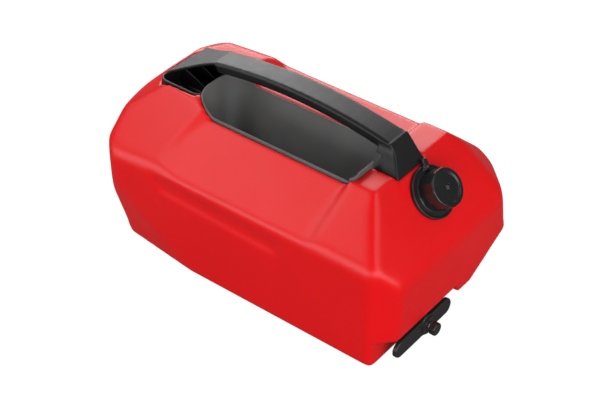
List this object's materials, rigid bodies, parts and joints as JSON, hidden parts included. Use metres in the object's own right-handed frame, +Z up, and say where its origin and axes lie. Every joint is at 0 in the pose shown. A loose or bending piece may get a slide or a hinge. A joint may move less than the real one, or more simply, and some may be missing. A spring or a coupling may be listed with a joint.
{
  "type": "fuel can",
  "caption": "Low wide red plastic fuel can with a black carry handle over a finger tray, an angled screw cap with a collar and a push-button tap",
  "frame": {"origin": "middle of the bounding box in plan, on the surface the can stands on", "axes": "+X towards the end with cap and tap, -Y towards the front seen in the picture, +Z up"},
  "size_m": [0.3842, 0.233, 0.2025],
  "materials": {
    "tank_red": "satin blow-moulded polyethylene with a fine grain",
    "handle_black": "fine-textured black plastic, worn slightly grey on top",
    "tray_black": "smooth semi-gloss black plastic",
    "collar_black": "semi-gloss black plastic",
    "pin_grey": "grey plastic pin",
    "screen_grey": "plain grey plastic",
    "cap_black": "glossy black plastic",
    "seal_rubber": "matte nitrile rubber",
    "vent_rubber": "matte dark grey rubber",
    "tap_black": "satin black plastic",
    "bonnet_black": "satin black plastic",
    "button_black": "semi-gloss black plastic",
    "stem_steel": "turned stainless steel",
    "spring_steel": "drawn stainless spring wire",
    "screw_steel": "zinc-plated steel",
    "insert_brass": "knurled brass"
  },
  "bodies": {
    "tank": {"tank_shell": "tank_red", "threaded_inserts": "insert_brass", "carry_handle": "handle_black", "handle_screws": "screw_steel", "finger_tray": "tray_black", "neck_collar": "collar_black", "collar_pin": "pin_grey", "filler_screen": "screen_grey", "tap_body": "tap_black", "tap_gasket": "seal_rubber", "tap_screws": "screw_steel", "finger_wings": "tap_black", "tap_bonnet": "bonnet_black", "stem_oring": "seal_rubber", "return_spring": "spring_steel"},
    "cap_liner": {"cap_seal": "seal_rubber"},
    "cap": {"cap_shell": "cap_black", "cap_vent_valve": "vent_rubber"},
    "tap_valve": {"tap_button": "button_black", "valve_stem": "stem_steel", "valve_seal": "seal_rubber", "seal_washer": "stem_steel"}
  },
  "joints": [
    {"name": "cap_lift", "type": "slide", "parent": "tank", "child": "cap_liner", "axis": [0.766, 0, 0.6428], "range_m": [0, 0.01205]},
    {"name": "cap_turn", "type": "hinge", "parent": "cap_liner", "child": "cap", "pos_m": [0.14908, 0, 0.1416], "axis": [0.766, 0, 0.6428], "range_deg": [0, 1080]},
    {"name": "button_press", "type": "slide", "parent": "tank", "child": "tap_valve", "axis": [-1, 0, 0], "range_m": [0, 0.004], "stiffness_N_per_m": 900, "springref_m": -0.002, "deforming": ["return_spring"]}
  ],
  "couplings": [
    {"joint": "cap_lift", "follows": "cap_turn", "m_per_rad": 0.00063662}
  ]
}
